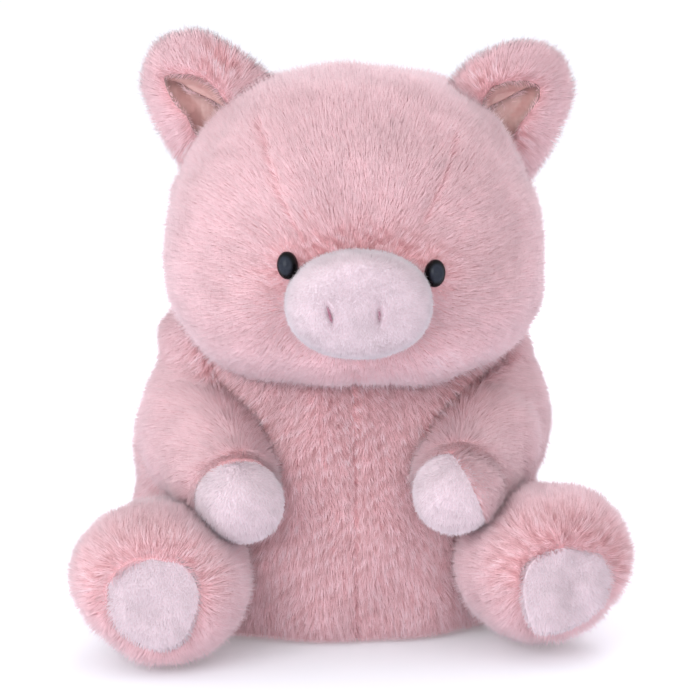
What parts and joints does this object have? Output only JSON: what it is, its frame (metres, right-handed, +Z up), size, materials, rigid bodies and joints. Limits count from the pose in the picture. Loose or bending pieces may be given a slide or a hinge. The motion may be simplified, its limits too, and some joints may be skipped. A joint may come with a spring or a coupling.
{
  "type": "plush pig",
  "caption": "Seated plush pig with a large head, leaning satin-lined ears, an oval snout, glossy domed eyes, padded paws and soles, and a small curled tail.",
  "frame": {"origin": "on the floor under the seat, on the toy's middle plane", "axes": "+Z up, the pig faces -Y, and +X leads to its own left side"},
  "size_m": [0.2536, 0.2136, 0.2802],
  "materials": {
    "fur_pink": "soft matte faux fur",
    "pad_pink": "short soft plush",
    "satin_lining": "satin weave",
    "polyester_stuffing": "fluffy",
    "pellet_canvas": "plain weave",
    "stitching_thread": "twisted thread",
    "eye_plastic": "polished",
    "washer_plastic": "matte"
  },
  "bodies": {
    "torso": {"torso_skin": "fur_pink", "base_panel": "fur_pink", "torso_stuffing": "polyester_stuffing", "pellet_bag": "pellet_canvas"},
    "neck": {"neck_roll": "polyester_stuffing"},
    "head": {"head_skin": "fur_pink", "head_stuffing": "polyester_stuffing", "snout_cover": "pad_pink", "snout_stuffing": "polyester_stuffing", "nostril_stitch_left": "stitching_thread", "nostril_stitch_right": "stitching_thread", "eye_left": "eye_plastic", "eye_right": "eye_plastic", "eye_washer_left": "washer_plastic", "eye_washer_right": "washer_plastic"},
    "ear_left": {"ear_back_left": "fur_pink", "ear_lining_left": "satin_lining"},
    "ear_right": {"ear_back_right": "fur_pink", "ear_lining_right": "satin_lining"},
    "arm_left": {"arm_skin_left": "fur_pink", "arm_stuffing_left": "polyester_stuffing", "paw_pad_left": "pad_pink"},
    "arm_right": {"arm_skin_right": "fur_pink", "arm_stuffing_right": "polyester_stuffing", "paw_pad_right": "pad_pink"},
    "leg_left": {"leg_skin_left": "fur_pink", "leg_stuffing_left": "polyester_stuffing", "sole_pad_left": "pad_pink"},
    "leg_right": {"leg_skin_right": "fur_pink", "leg_stuffing_right": "polyester_stuffing", "sole_pad_right": "pad_pink"},
    "tail": {"tail": "fur_pink"}
  },
  "joints": [
    {"name": "head_turn", "type": "hinge", "parent": "torso", "child": "neck", "pos_m": [0.006, -0.006, 0.125], "axis": [0, -0.2079, 0.9781], "range_deg": [-20, 20], "stiffness_Nm_per_rad": 0.35},
    {"name": "head_nod", "type": "hinge", "parent": "neck", "child": "head", "pos_m": [0.006, 0.04878, 0.13664], "axis": [-1, 0, 0], "range_deg": [0, 20], "stiffness_Nm_per_rad": 0.35},
    {"name": "arm_swing_left", "type": "hinge", "parent": "torso", "child": "arm_left", "pos_m": [0.09, 0.035, 0.125], "axis": [-0.707, -0.02, 0.707], "range_deg": [0, 40], "stiffness_Nm_per_rad": 0.06},
    {"name": "arm_swing_right", "type": "hinge", "parent": "torso", "child": "arm_right", "pos_m": [-0.09, 0.035, 0.125], "axis": [-0.707, 0.02, -0.707], "range_deg": [0, 40], "stiffness_Nm_per_rad": 0.06},
    {"name": "leg_splay_left", "type": "hinge", "parent": "torso", "child": "leg_left", "pos_m": [0.096, 0.006, 0.036], "axis": [0, 0, 1], "range_deg": [0, 25], "stiffness_Nm_per_rad": 0.12},
    {"name": "leg_splay_right", "type": "hinge", "parent": "torso", "child": "leg_right", "pos_m": [-0.096, 0.006, 0.036], "axis": [0, 0, -1], "range_deg": [0, 25], "stiffness_Nm_per_rad": 0.12},
    {"name": "ear_fold_left", "type": "hinge", "parent": "head", "child": "ear_left", "pos_m": [0.06349, 0.01639, 0.22762], "axis": [-0.7324, -0.2413, 0.6366], "range_deg": [0, 25], "stiffness_Nm_per_rad": 0.03},
    {"name": "ear_fold_right", "type": "hinge", "parent": "head", "child": "ear_right", "pos_m": [-0.04649, 0.01639, 0.23162], "axis": [-0.7324, 0.2413, -0.6366], "range_deg": [0, 25], "stiffness_Nm_per_rad": 0.03},
    {"name": "tail_lift", "type": "hinge", "parent": "torso", "child": "tail", "pos_m": [0, 0.0653, 0.0615], "axis": [1, 0, 0], "range_deg": [0, 35], "stiffness_Nm_per_rad": 0.01}
  ]
}
